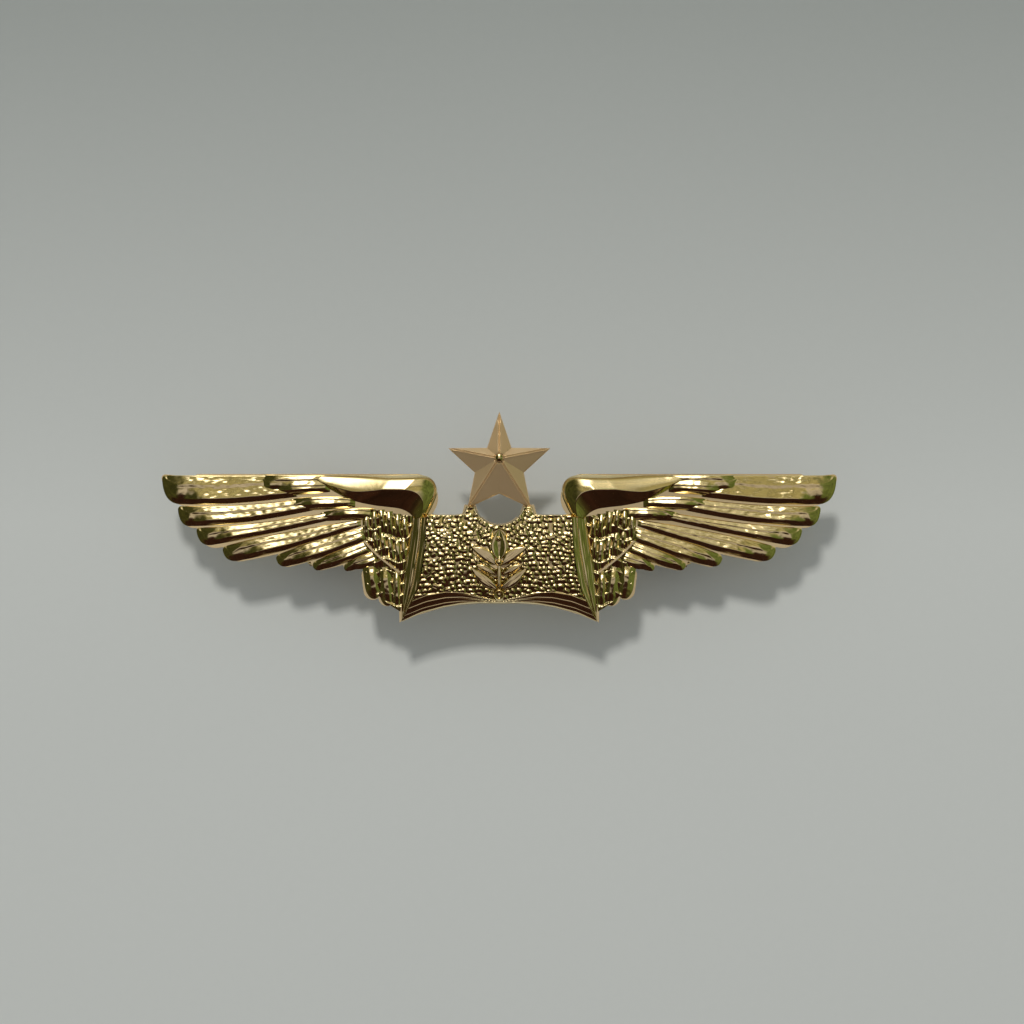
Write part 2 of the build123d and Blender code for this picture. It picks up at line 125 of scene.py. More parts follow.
# ---------------------------------------------------------------- plane geometry
def bezier(points, count):
    """Points along a quadratic Bezier curve."""
    a, b, c = (np.array(point, float) for point in points)
    t = np.linspace(0, 1, count + 1)[:, None]
    return a * (1 - t) ** 2 + 2 * b * t * (1 - t) + c * t**2


def spread(points, rows):
    """Smooth curve through points, the same share of rows between each pair."""
    p = np.array(points, float)
    p = np.vstack([2 * p[0] - p[1], p, 2 * p[-1] - p[-2]])
    path = []
    for place in np.linspace(0, len(points) - 1, rows + 1):
        i = min(int(place), len(points) - 2)
        t = place - i
        a, b, c, d = p[i : i + 4]
        curve = 2 * b + (c - a) * t + (2 * a - 5 * b + 4 * c - d) * t**2
        path.append((curve + (3 * b - a - 3 * c + d) * t**3) / 2)
    return np.array(path)


def spaced(path, count):
    """A path cut into equal steps."""
    steps = np.hypot(*np.diff(path, axis=0).T)
    along = np.concatenate([[0], np.cumsum(steps)])
    places = np.linspace(0, along[-1], count + 1)
    return np.stack([np.interp(places, along, path[:, axis]) for axis in range(path.shape[1])], 1)


def distance(points, path):
    """Distance from each point to a polyline."""
    best = np.full(len(points), 1e9)
    for start, way in zip(path[:-1], np.diff(path, axis=0)):
        t = np.clip(((points - start) @ way) / max(way @ way, 1e-12), 0, 1)
        away = points - start - t[:, None] * way
        best = np.minimum(best, np.hypot(away[:, 0], away[:, 1]))
    return best


def quarter(depth, radius):
    """Rise of a quarter-round edge, from 0 at the edge to 1 at its radius."""
    inward = np.clip(depth / radius, 0, 1)
    return np.sqrt(np.maximum(1 - (1 - inward) ** 2, 0))


def smooth(low, high, value):
    """Smooth step between two values."""
    t = np.clip((value - low) / (high - low), 0, 1)
    return t * t * (3 - 2 * t)


def shingle(phase):
    """Saw wave that climbs slowly and drops fast, from 0 to 1."""
    share = phase % 1
    return np.minimum(share / 0.78, (1 - share) / 0.22)


def bell(value, width):
    return np.exp(-((value / width) ** 2))


def grain(points, across, along, heading, seed):
    """Noise stretched along a heading, one value per point."""
    c, s = cos(heading), sin(heading)
    u = (points[:, 0] * c + points[:, 1] * s) / along
    v = (points[:, 1] * c - points[:, 0] * s) / across
    return np.array([noise.noise((x, y, seed)) for x, y in zip(u, v)])


# ---------------------------------------------------------------- relief meshes
class Relief:
    """Closed shells gathered for one mesh object."""

    def __init__(self):
        self.points, self.faces, self.count = [], [], 0

    def shell(self, grid, z, underside=ROOTS):
        """Closes a grid of top points, rows along the shape, down to a flat underside."""
        grid = np.dstack([grid, z.reshape(grid.shape[:2])])
        rows, columns = grid.shape[:2]
        top = grid.reshape(-1, 3)
        under = top.copy()
        under[:, 2] = underside
        index = np.arange(rows * columns).reshape(rows, columns) + self.count
        below = index + rows * columns
        quads = np.stack([index[:-1, :-1], index[1:, :-1], index[1:, 1:], index[:-1, 1:]], -1)
        a, b, c, d = grid[0, 0], grid[1, 0], grid[1, 1], grid[0, 1]
        flip = np.cross(c - a, d - b)[2] < 0
        rim = np.concatenate([index[:, 0], index[-1, 1:], index[-2::-1, -1], index[0, -2:0:-1]])
        rim_below = rim + rows * columns
        walls = np.stack([rim, np.roll(rim, -1), np.roll(rim_below, -1), rim_below], -1)[:, ::-1]
        floor = np.stack([below[:-1, 0], below[:-1, -1], below[1:, -1], below[1:, 0]], -1)
        faces = [list(face) for face in np.concatenate([quads.reshape(-1, 4), walls, floor])]
        faces += [list(below[0, ::-1]), list(below[-1])]
        if flip:
            faces = [face[::-1] for face in faces]
        self.points.append(np.concatenate([top, under]))
        self.faces += faces
        self.count += 2 * rows * columns

    def build(self, name, mirrored=False):
        points = np.concatenate(self.points) * MM
        faces = self.faces
        if mirrored:
            points = points * (-1, 1, 1)
            faces = [face[::-1] for face in faces]
        return mesh_piece(name, points, [[int(i) for i in face] for face in faces], 50)


def mesh_piece(name, points, faces, sharp):
    """Object of the badge from points in metres, smooth but for edges sharper than an angle."""
    mesh = bpy.data.meshes.new(name)
    mesh.from_pydata(points.tolist(), [], faces)
    work = bmesh.new()
    work.from_mesh(mesh)
    bmesh.ops.remove_doubles(work, verts=work.verts, dist=1e-8)
    loose = [vertex for vertex in work.verts if not vertex.link_faces]
    bmesh.ops.delete(work, geom=loose, context="VERTS")
    bmesh.ops.recalc_face_normals(work, faces=work.faces)
    work.to_mesh(mesh)
    work.free()
    mesh.shade_smooth()
    mesh.set_sharp_from_angle(angle=radians(sharp))
    return placed(name, mesh)


def placed(name, mesh):
    piece = bpy.data.objects.new(name, mesh)
    bpy.context.scene.collection.objects.link(piece)
    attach(piece, "badge")
    return piece


def lines_across(low, high, columns):
    """Grid of plane points between two paths, closer together near the edges."""
    s = 0.5 - 0.5 * np.cos(np.linspace(0, pi, columns + 1))
    grid = low[:, None] * (1 - s)[None, :, None] + high[:, None] * s[None, :, None]
    return grid, s


def toward(start, end, step):
    return start + (end - start) * step / hypot(*(end - start))


def through(points, count):
    """Curve from the first point to the last that passes through the one between them."""
    a, b, c = (np.array(point, float) for point in points)
    return bezier((a, 2 * b - (a + c) / 2, c), count)


def slope(depth, run):
    """Rise of a worn edge: steep at its foot, level after a run."""
    return 1 - 0.88 * (1 - np.clip(depth / run, 0, 1)) ** 1.35


def feather(relief, points, rows, columns, heights, ridges, seed):
    """A flight feather or covert: low at its upper edge, proud at its lower one, ribbed."""
    root, _, corner, low_root, _, belly = (np.array(point, float) for point in points)
    high_path, low_path = through(points[:3], 60), through(points[3:], 60)
    along = (belly - low_root) / hypot(*(belly - low_root))
    turn = belly + along * ((corner - belly) @ along)
    before, after = toward(corner, high_path[-12], TIP_ROUND), toward(corner, turn, TIP_ROUND)
    kept = (corner - high_path) @ along > TIP_ROUND
    upper = np.vstack([high_path[kept], before])
    tip = np.vstack([bezier((belly, turn, after), 24), bezier((after, corner, before), 8)[1:]])
    grid, _ = lines_across(spaced(np.vstack([low_path, tip[1:]]), rows), spaced(upper, rows), columns)
    flat = grid.reshape(-1, 2)
    to_low = distance(flat, np.vstack([low_path, belly + along * 6]))
    to_high = distance(flat, upper)
    to_tip = distance(flat, tip)
    from_root = np.maximum((flat - root) @ along, 0)
    fall = np.minimum(distance(flat, low_path), to_tip)
    q = to_high / np.maximum(to_low + to_high, 1e-6)
    heading = np.arctan2(along[1], along[0])
    wander = grain(flat, 1.4, 5.0, heading, seed) * 0.07
    rib = shingle(ridges * (q + wander) + 0.1) - 0.5
    barbs = grain(flat, 0.12, 0.9, heading, seed + 7)
    dents = grain(flat, 0.5, 0.7, heading, seed + 13)
    foot, lip = heights
    body = foot + (lip - foot) * q + TIP_SWELL * smooth(6.0, 2.5, to_tip)
    calm = smooth(0.3, 2.4, to_tip) * smooth(0.04, 0.3, np.minimum(fall, to_high))
    detail = (RIB_RISE * rib + BARB_RISE * barbs + DENT_RISE * dents) * (0.15 + 0.85 * calm)
    dip = 1 - TIP_DIP * (1 - np.clip(to_tip / TIP_FALL, 0, 1)) ** 2
    emerge = 1 - ROOT_DIP * (1 - np.clip(from_root / ROOT_FALL, 0, 1)) ** 2
    walls = slope(fall, LOWER_RUN) * slope(to_high, UPPER_RUN) * slope(from_root, ROOT_RUN)
    height = walls * (body * dip * emerge + detail)
    relief.shell(grid, FLOOR + height - SUNK * (np.minimum(fall, to_high) < 1e-6))


def small_feather(relief, root, tip, width, rise, seed):
    """A short feather that hangs from the shoulder, round at its tip, with a shaft."""
    root, tip = np.array(root), np.array(tip)
    along = (tip - root) / hypot(*(tip - root))
    side = np.array([-along[1], along[0]])
    length = hypot(*(tip - root)) + width / 2
    rows, columns = 44, 20
    t = np.linspace(0, 1, rows + 1)
    reach = length * t
    left = np.clip((length - reach) / (width * 0.85), 0, 1)
    half = width / 2 * np.sqrt(np.maximum(1 - (1 - left) ** 2, 0))
    middle = root + along * reach[:, None]
    low, high = middle - side * half[:, None], middle + side * half[:, None]
    grid, s = lines_across(low, high, columns)
    flat = grid.reshape(-1, 2)
    v = np.tile(2 * s - 1, rows + 1)
    u = np.repeat(t, columns + 1)
    dome = 1 - v**2
    heading = np.arctan2(along[1], along[0])
    barbs = grain(flat, 0.12, 0.7, heading, seed)
    dents = grain(flat, 0.4, 0.5, heading, seed + 5)
    climb = (0.5 + 0.5 * smooth(0.0, 0.3, u)) * (1 - 0.45 * smooth(0.25, 1.0, u))
    body = rise * climb * (0.7 + 0.3 * dome) * slope(1 - u, 0.3)
    height = slope(1 - np.abs(v), 0.7) * (body + 0.012 * barbs + 0.03 * dents)
    relief.shell(grid, FLOOR + height - SUNK * (np.abs(v) > 0.9999))


def ground(relief, seed):
    """Finely barbed ground that shows between the small feathers, and the flat strip across it."""
    rows, columns = 150, 90
    grid, _ = lines_across(spread(GROUND_OUTER, rows), spread(GROUND_INNER, rows), columns)
    flat = grid.reshape(-1, 2)
    barbs = grain(flat, 0.2, 1.6, -1.5, seed)
    steps = shingle(-flat[:, 1] / 1.3 + 0.2 * np.sin(2.0 * flat[:, 0]))
    relief.shell(grid, FLOOR + 0.28 - 0.2 * steps + 0.05 * barbs)
    path = spread(STRIP, 40)
    ways = np.gradient(path, axis=0)
    side = np.stack([-ways[:, 1], ways[:, 0]], 1) / np.hypot(*ways.T)[:, None]
    grid, s = lines_across(path - side * STRIP_HALF, path + side * STRIP_HALF, 8)
    relief.shell(grid, FLOOR + STRIP_RISE * quarter(1 - np.abs(np.tile(2 * s - 1, len(path))), 0.3))


def shoulder(relief, seed):
    """Smooth bulge of the wing's leading edge: a gentle upper face, a crest and a steep lower one."""
    rows, columns = 130, 64
    ends = np.linspace(0, 1, len(SHOULDER_RISE))
    grid, s = lines_across(spread(SHOULDER_LOW, rows), spread(SHOULDER_HIGH, rows), columns)
    u = np.repeat(np.linspace(0, 1, rows + 1), columns + 1)
    v = np.tile(s, rows + 1)
    rise = np.interp(u, ends, SHOULDER_RISE)
    crest = np.interp(u, ends, SHOULDER_CREST)
    up, down = np.clip((v - crest) / (1 - crest), 0, 1), np.clip(v / crest, 0, 1)
    upper = 1 - 0.36 * up - 0.6 * up**3.3
    profile = np.where(v > crest, upper, 0.1 + 0.9 * down)
    soft = grain(grid.reshape(-1, 2), 1.4, 3.5, 0.0, seed) * 0.03
    ends_down = (0.3 + 0.7 * quarter(u, 0.07)) * (0.3 + 0.7 * quarter(1 - u, 0.1))
    z = FLOOR + np.maximum(profile, 0) * (rise + soft) * ends_down
    relief.shell(grid, z - SUNK * ((v < 1e-6) | (v > 1 - 1e-6)))


def roll(relief, seed):
    """Edge of the plaque that leans outward: two strands of fine ribs that meet at the corner."""
    rows, columns = 140, 64
    low, high = spread(ROLL_OUTER, rows), spread(ROLL_INNER, rows)
    grid, s = lines_across(low, high, columns)
    flat = grid.reshape(-1, 2)
    u = np.repeat(np.linspace(0, 1, rows + 1), columns + 1)
    v = np.tile(s, rows + 1)
    width = np.repeat(np.hypot(*(high - low).T), columns + 1)
    wander = grain(flat, 1.5, 4.0, -1.4, seed) * 0.05
    ribs = np.cos(2 * pi * (ROLL_RIBS * (v + wander)))
    seam = bell(v - 0.62 + 0.1 * u, 0.06)
    fine = grain(flat, 0.14, 2.2, -1.45, seed + 3)
    lean = ROLL_FOOT + ROLL_SLOPE * width * v
    edges = slope(v * width, 0.2) * slope((1 - v) * width, 0.1)
    detail = (ROLL_RIB_RISE * ribs + 0.02 * fine - SEAM_DEPTH * seam) * smooth(0.0, 0.6, width)
    relief.shell(grid, FLOOR + edges * (lean + detail) - SUNK * ((v < 1e-6) | (v > 1 - 1e-6)))


# ---------------------------------------------------------------- plaque
PLAQUE_RISE, PLAQUE_BULGE = 0.62, 0.75
PLAQUE_MIDDLE, PLAQUE_REACH = -4.2, 7.3
PAGE_LINE = [(0.0, -10.0), (0.8, -9.8), (4.3, -9.0), (6.2, -8.9), (8.4, -9.25), (11.4, -10.4)]
FOOT_LINE = [(0.0, -10.3), (2.3, -10.25), (4.6, -10.4), (6.5, -10.7), (9.0, -11.35), (11.45, -12.35)]
LUG_OUT, LUG_HIGH = 3.75, 1.3
ROW_STEP, GRAIN_STEP, GRAIN_RISE = 0.54, 0.67, 0.13
FIELD_TOP, FIELD_FOOT, FIELD_HALF = 2.4, -11.0, 10.8  # reach of the rows of pebbles
FAN_RISE = 0.9  # how far the rows part round the sprig's top
PAGE_EDGES, PAGE_RISE, PAGE_DROP = (0.08, 0.45, 0.78), 0.07, 0.42


def plaque_surface(points):
    """Height of the plaque's smooth field, bulging between its top and its foot."""
    share = (points[:, 1] - PLAQUE_MIDDLE) / PLAQUE_REACH
    return FLOOR + PLAQUE_RISE + PLAQUE_BULGE * (1 - share**2)


def follow(line, x):
    """Y of a line that is the same on both sides of the middle."""
    return np.interp(np.abs(x), *zip(*line))


def top_line(x):
    """The plaque's top edge, with a lug each side of the star's hole."""
    x = np.abs(x)
    hole = HOLE_Y - np.sqrt(np.maximum((HOLE_RADIUS + 0.06) ** 2 - x**2, 0))
    field = np.interp(x, [4.4, 6.0, 8.5], [0.4, 0.2, -0.05])
    lug = LUG_HIGH - 1.0 * smooth(LUG_OUT, LUG_OUT + 0.6, x)
    return np.where(x < HOLE_RADIUS, np.minimum(hole, LUG_HIGH), np.maximum(lug, field))


def pebbles(points, seed):
    """Raised grains in wavy rows that fan out over the sprig, each wider than tall."""
    rng = np.random.default_rng(seed)
    height = np.zeros(len(points))
    x, y = points.T
    row = FIELD_TOP
    while row > FIELD_FOOT:
        place = -FIELD_HALF + rng.uniform(0, GRAIN_STEP)
        while place < FIELD_HALF:
            lift = 1.6 * bell(place, 2.2) * smooth(-4.5, -0.5, row)
            cx = place + rng.normal(0, 0.12)
            cy = row + 0.1 * sin(1.1 * place + row) + rng.normal(0, 0.09) + lift
            cy -= FAN_RISE * smooth(-4.5, -0.5, row)
            fan = -np.sign(place) * 0.8 * bell(abs(place) - 1.9, 1.3) * smooth(-5.0, -1.0, row)
            tilt = rng.normal(0, 0.25) + fan
            wide, tall = rng.uniform(0.24, 0.48), rng.uniform(0.24, 0.38)
            reach = max(wide, tall)
            near = np.flatnonzero((np.abs(x - cx) < reach) & (np.abs(y - cy) < reach))
            if len(near):
                dx, dy = x[near] - cx, y[near] - cy
                ax, ay = dx * cos(tilt) + dy * sin(tilt), dy * cos(tilt) - dx * sin(tilt)
                left = np.maximum(1 - (ax / wide) ** 4 - (ay / tall) ** 2, 0)
                bump = left * (1 + 0.25 * ay / tall) * rng.uniform(0.6, 1.15)
                height[near] = np.maximum(height[near], bump)
            place += GRAIN_STEP * rng.uniform(0.8, 1.3)
        row -= ROW_STEP * rng.uniform(0.94, 1.08)
    return height


def moat(points):
    """Share of the pebbles left round the sprig: none close to a leaf, all a little way off."""
    left = np.ones(len(points))
    for side in (-1, 1):
        for root, tip, width, *_ in LEAVES + [BUD, STEM]:
            root, tip = np.array(root) * (side, 1), np.array(tip) * (side, 1)
            line = np.array([root, root + 0.78 * (tip - root)])
            left = np.minimum(left, smooth(0.0, 0.16, distance(points, line) - 0.34 * width))
    return left


def plaque(relief):
    """The field between the rolls: pebbled above, with the edges of pages along its foot."""
    rows, columns = 420, 240
    top_x, foot_x = np.linspace(-8.7, 8.7, rows + 1), np.linspace(-11.45, 11.45, rows + 1)
    high = np.stack([top_x, top_line(top_x)], 1)
    low = np.stack([foot_x, follow(FOOT_LINE, foot_x)], 1)
    s = np.linspace(0, 1, columns + 1)
    grid = low[:, None] * (1 - s)[None, :, None] + high[:, None] * s[None, :, None]
    flat = grid.reshape(-1, 2)
    pages_top, foot = follow(PAGE_LINE, flat[:, 0]), follow(FOOT_LINE, flat[:, 0])
    page = (pages_top - flat[:, 1]) / np.maximum(pages_top - foot, 0.05)
    clear = moat(flat)
    worn = grain(flat, 0.9, 0.9, 0.0, 3.0) * 0.03
    grains = GRAIN_RISE * clear * pebbles(flat, 5) - 0.1 * (1 - clear)
    field = smooth(0.02, -0.06, page) * (grains + worn - 0.05)
    edges = sum(bell(page - place, 0.07) for place in PAGE_EDGES)
    sheets = smooth(-0.02, 0.04, page) * (PAGE_RISE * edges - PAGE_DROP * np.clip(page, 0, 1))
    rim = slope(distance(flat, high[::3]), 0.25) * slope(distance(flat, low[::3]), 0.15)
    inner = np.interp(-flat[:, 1], *(np.array(ROLL_INNER) * (1, -1)).T[::-1])
    inside = smooth(0.12, -0.03, np.abs(flat[:, 0]) - inner)
    z = FLOOR + (plaque_surface(flat) + field + sheets - FLOOR) * rim * (0.1 + 0.9 * inside)
    relief.shell(grid, z - SUNK * (rim < 0.13))


# ---------------------------------------------------------------- leaf sprig
# Each leaf of the right half: root, tip, width, curl.
LEAVES = [
    ((0.4, -5.7), (3.2, -3.7), 1.45, 0.14),
    ((0.5, -6.9), (2.7, -5.75), 0.8, 0.1),
    ((0.2, -8.6), (3.2, -6.2), 1.3, -0.12),
]
BUD = ((0.0, -5.2), (0.0, -1.6), 2.3)
STEM = ((0.0, -9.0), (0.0, -4.9), 0.5)
SPRIG_LIFT = 0.42


def leaf(relief, root, tip, width, curl=0.0, side=1, hollow=0.0):
    """A leaf with a flat face inside a raised rim, standing on the plaque."""
    root, tip = np.array([root[0] * side, root[1]]), np.array([tip[0] * side, tip[1]])
    along = tip - root
    across = np.array([-along[1], along[0]]) / hypot(*along)
    rows, columns = 60, 32
    t = np.linspace(0, 1, rows + 1)
    half = width / 2 * (np.sin(pi * t**0.85) ** 0.8 + 0.02)
    middle = root + along * t[:, None] + across * (curl * side * np.sin(pi * t))[:, None] * width
    grid, s = lines_across(middle - across * half[:, None], middle + across * half[:, None], columns)
    flat = grid.reshape(-1, 2)
    v = np.abs(np.tile(2 * s - 1, rows + 1))
    u = np.repeat(t, columns + 1)
    rim = bell(v - 0.78, 0.13)
    dish = hollow * smooth(0.75, 0.0, v) * smooth(0.0, 0.15, u) * (1 - 0.8 * u)
    fine = grain(flat, 0.12, 0.9, np.arctan2(along[1], along[0]), 71.0)
    shape = SPRIG_LIFT * (0.74 + 0.3 * rim * np.sin(pi * u) ** 0.5 - dish) + 0.012 * fine
    middle_height = plaque_surface(np.array([(root + tip) / 2]))[0]
    level = np.maximum(0.6 * middle_height + 0.4 * plaque_surface(flat), plaque_surface(flat) - 0.05)
    ends = 0.7 + 0.3 * np.sin(pi * u) ** 0.4
    relief.shell(grid, level - 0.1 + shape * slope(1 - v, 0.5) * ends)


def disc(relief, centre, radius, profile):
    """A round boss whose height above the plaque follows a profile from its middle outward."""
    rings, segments = 22, 56
    share = np.linspace(0, 1, rings + 1)
    angle = np.linspace(0, 2 * pi, segments + 1)
    x = centre[0] + radius * share[:, None] * np.cos(angle)[None]
    y = centre[1] + radius * share[:, None] * np.sin(angle)[None]
    grid = np.dstack([x, y])
    relief.shell(grid, plaque_surface(grid.reshape(-1, 2)) + profile(np.repeat(share, segments + 1)))


def ring_profile(r):
    return 0.34 * bell(r - 0.7, 0.18) + 0.12 * (1 - r) - 0.12 * r**8


def bead_profile(r):
    return 0.52 * quarter(1 - r, 1.0) - 0.1 * r**8


def sprig(relief):
    """Generic leaf sprig: a hollow bud over pairs of leaves on a short stem, a ring at its foot."""
    for side in (-1, 1):
        for root, tip, width, curl in LEAVES:
            leaf(relief, root, tip, width, curl, side)
    leaf(relief, *BUD, hollow=0.7)
    leaf(relief, *STEM)
    disc(relief, (0, -9.3), 0.75, ring_profile)
    disc(relief, (0, -5.55), 0.42, bead_profile)
    disc(relief, (-0.1, -2.75), 0.34, bead_profile)


# ---------------------------------------------------------------- star
STAR_MIDDLE = np.array([0.0, 6.15])
STAR_RADIUS = 6.35
STAR_VALLEYS = [0.39, 0.48, 0.54, 0.48, 0.39]
STAR_PEAK_OFFSET = 0.6
star_low, star_high = (np.array(corner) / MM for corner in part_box("star"))
STAR_BASE, STAR_TOP = star_low[2], star_high[2]
STAR_RIM, STAR_SHEET, STAR_INSIDE = 0.3, 0.85, 0.8
STAR_BEAD, BEAD_RISE, BEAD_DROP = 0.42, 0.1, 0.12  # radius, height, and foot below the star's top
RIDGE_DEPTH, RIDGE_LINE = 0.16, 0.065  # crease along each ridge, and its half width


def star_corners(size):
    """Corners of the star, tips and valleys in turn from the top one, clockwise."""
    corners = []
    for point, valley in enumerate(STAR_VALLEYS):
        for share, turn in ((1.0, 0), (valley, 36)):
            angle = radians(90 - 72 * point - turn)
            corners.append(STAR_MIDDLE + size * share * np.array([cos(angle), sin(angle)]))
    return np.array(corners)


def star_skin(size, rim, peak, creased):
    """Grid of rings from the peak out to the star's edge; facets between ridges and valleys."""
    corners = star_corners(size)
    steps, rings = 22, 60
    outline = []
    for start, end in zip(corners, np.roll(corners, -1, axis=0)):
        t = 0.5 - 0.5 * np.cos(np.linspace(0, pi, steps + 1))[:-1, None]
        outline.append(start * (1 - t) + end * t)
    outline = np.vstack(outline + [corners[:1]])
    centre = STAR_MIDDLE + (0, STAR_PEAK_OFFSET)
    r = np.linspace(0, 1, rings + 1)
    grid = centre * (1 - r)[:, None, None] + outline[None] * r[:, None, None]
    flat = grid.reshape(-1, 2)
    r = np.repeat(r, len(outline))
    z = peak + (rim - peak) * r
    if creased:
        ridge = np.min([distance(flat, np.array([centre, tip])) for tip in corners[::2]], axis=0)
        out = np.hypot(*(flat - centre).T)
        z += 0.04 * bell(ridge - 0.16, 0.06) - RIDGE_DEPTH * bell(ridge, RIDGE_LINE)
        z -= 0.14 * bell(out - 0.52, 0.12)
        z -= 0.1 * smooth(0.97, 1.0, r)
    return np.dstack([grid, z.reshape(grid.shape[:2])])


def star_piece():
    """Star pressed from sheet: outer and inner skins joined by a thin rim."""
    outer = star_skin(STAR_RADIUS, STAR_BASE + STAR_RIM, STAR_TOP - 0.1, True)
    inner = star_skin(STAR_RADIUS * STAR_INSIDE, STAR_BASE, STAR_TOP - STAR_SHEET, False)
    drop = outer[-1:].copy()
    drop[..., 2] = STAR_BASE
    skin = np.concatenate([outer, drop, inner[::-1]])
    index = np.arange(skin.shape[0] * skin.shape[1]).reshape(skin.shape[:2])
    quads = np.stack([index[:-1, :-1], index[1:, :-1], index[1:, 1:], index[:-1, 1:]], -1)
    return mesh_piece("star_skin", skin.reshape(-1, 3) * MM, quads.reshape(-1, 4).tolist(), 32)


def star_bead():
    """Round bead where the star's ridges meet."""
    share, angle = np.linspace(0, 1, 15), np.linspace(0, 2 * pi, 33)
    away = np.dstack([share[:, None] * np.cos(angle), share[:, None] * np.sin(angle)])
    dome = np.repeat(1 - share**2, len(angle))
    bead = Relief()
    z = STAR_TOP - BEAD_DROP + BEAD_RISE * dome
    bead.shell(STAR_MIDDLE + (0, STAR_PEAK_OFFSET) + STAR_BEAD * away, z, STAR_TOP - 0.6)
    return bead.build("star_bead")


# ---------------------------------------------------------------- plate under the relief
def plate_slab():
    """Flat plate with the CAD plate's own outline, its rim and the feathers' corners rounded."""
    work = bmesh.new()
    work.from_mesh(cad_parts["wings_plate"].data)
    bmesh.ops.remove_doubles(work, verts=work.verts, dist=1e-7)
    level = BACK * MM + 1e-6
    away = [face for face in work.faces if any(vertex.co.z > level for vertex in face.verts)]
    bmesh.ops.delete(work, geom=away, context="FACES")
    bmesh.ops.recalc_face_normals(work, faces=work.faces)
    bmesh.ops.dissolve_limit(work, angle_limit=radians(1), verts=work.verts, edges=work.edges)
    made = bmesh.ops.extrude_face_region(work, geom=list(work.faces))
    lifted = [item for item in made["geom"] if isinstance(item, bmesh.types.BMVert)]
    bmesh.ops.translate(work, verts=lifted, vec=(0, 0, (FLOOR - BACK) * MM))
    bmesh.ops.recalc_face_normals(work, faces=work.faces)
    corners = []
    for edge in work.edges:
        rise = abs(edge.verts[0].co.z - edge.verts[1].co.z)
        out = abs(edge.verts[0].co.x) / MM
        if rise > 0.5 * MM and out > 17 and edge.is_convex and edge.calc_face_angle() > radians(50):
            corners.append(edge)
    bmesh.ops.bevel(work, geom=corners, offset=TIP_ROUND * MM, segments=5, profile=0.5, affect="EDGES")
    mesh = bpy.data.meshes.new("plate_slab")
    work.to_mesh(mesh)
    work.free()
    piece = placed("plate_slab", mesh)
    rounding = piece.modifiers.new("rim", "BEVEL")
    rounding.width = EDGE_ROLL * MM
    rounding.segments = 3
    rounding.limit_method = "ANGLE"
    rounding.angle_limit = radians(60)
    rounding.harden_normals = True
    return piece


# ---------------------------------------------------------------- materials
def node(tree, kind, settings=None, **inputs):
    """Adds a shader node; inputs are values or sockets to link, by name or as i0, i1 and so on."""
    made = tree.nodes.new(kind)
    for key, value in (settings or {}).items():
        setattr(made, key, value)
    for key, value in inputs.items():
        numbered = key[0] == "i" and key[1:].isdigit()
        socket = made.inputs[int(key[1:])] if numbered else made.inputs[key.replace("_", " ")]
        if isinstance(value, bpy.types.NodeSocket):
            tree.links.new(value, socket)
        else:
            socket.default_value = value
    return made


def ramp(tree, value, stops):
    made = tree.nodes.new("ShaderNodeValToRGB")
    tree.links.new(value, made.inputs[0])
    elements = made.color_ramp.elements
    while len(elements) < len(stops):
        elements.new(0.5)
    for element, (position, colour) in zip(elements, stops):
        element.position = position
        element.color = (*colour, 1)
    return made.outputs[0]


def ease(tree, value, low, high, to_low=0.0, to_high=1.0):
    """Smooth step of a socket between two values."""
    return node(
        tree, "ShaderNodeMapRange", {"interpolation_type": "SMOOTHSTEP"}, Value=value,
        From_Min=low, From_Max=high, To_Min=to_low, To_Max=to_high,
    ).outputs[0]


def blend(tree, factor, first, second, kind="MIX"):
    """Colour mixed from two others, each a colour or a socket."""
    made = node(tree, "ShaderNodeMix", {"data_type": "RGBA", "blend_type": kind}, Factor=factor)
    for name, colour in (("A", first), ("B", second)):
        if isinstance(colour, bpy.types.NodeSocket):
            tree.links.new(colour, made.inputs[name])
        else:
            made.inputs[name].default_value = (*colour, 1)
    return made.outputs["Result"]


def math(tree, kind, first, second=0.0):
    return node(tree, "ShaderNodeMath", {"operation": kind}, i0=first, i1=second).outputs[0]


def new_tree(owner):
    owner.use_nodes = True
    owner.node_tree.nodes.clear()
    return owner.node_tree


